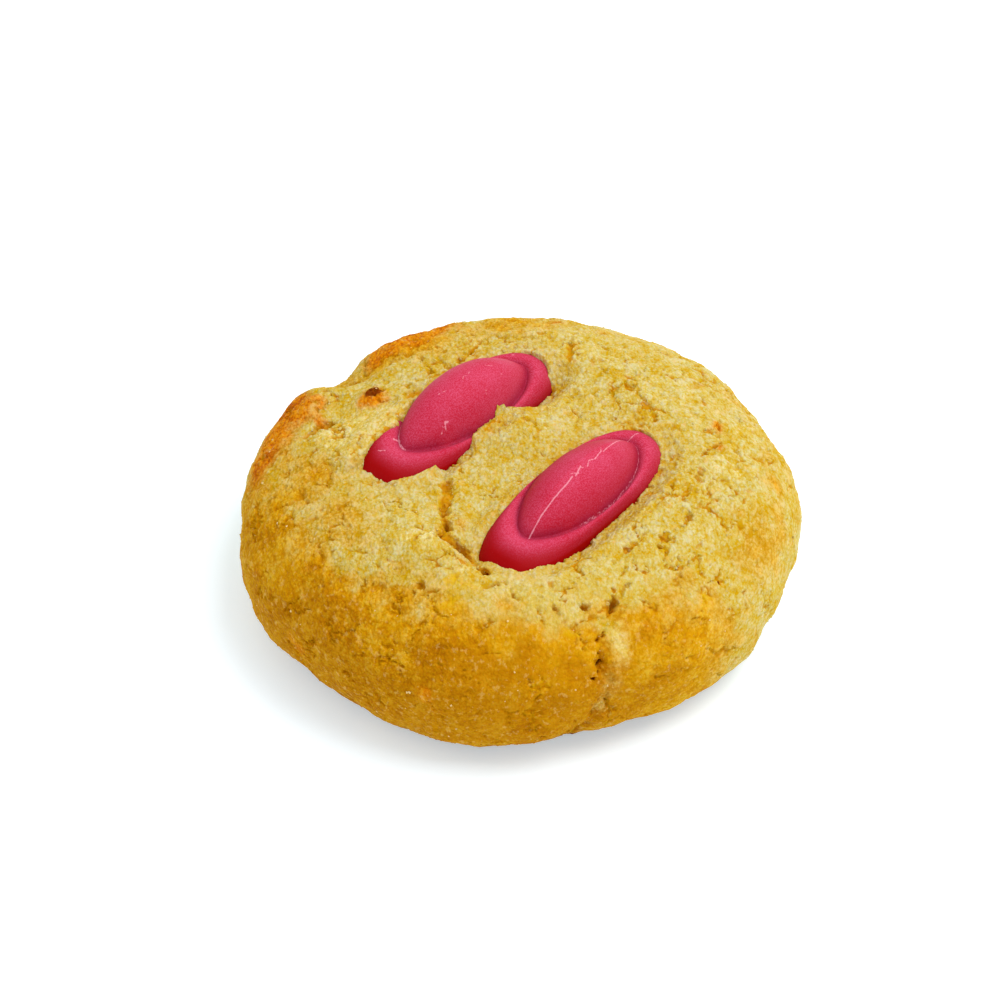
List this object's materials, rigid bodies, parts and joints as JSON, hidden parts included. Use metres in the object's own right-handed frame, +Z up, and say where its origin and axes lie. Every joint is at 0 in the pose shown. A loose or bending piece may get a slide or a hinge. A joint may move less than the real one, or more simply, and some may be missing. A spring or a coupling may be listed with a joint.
{
  "type": "strawberry cookie",
  "caption": "Thick soft round cookie of golden baked dough, cracked and lumpy, with moulded pink strawberry chocolates pressed into its top.",
  "frame": {"origin": "on the flat underside, under the middle of the bounding box", "axes": "+Z up; the picture looks towards +Y and down, with +X to its right"},
  "size_m": [0.075, 0.0742, 0.0273],
  "materials": {
    "dough": "matte",
    "chocolate": "satin"
  },
  "bodies": {
    "root": {"cookie": "dough", "chocolate_back": "chocolate", "chocolate_front": "chocolate"}
  },
  "joints": []
}
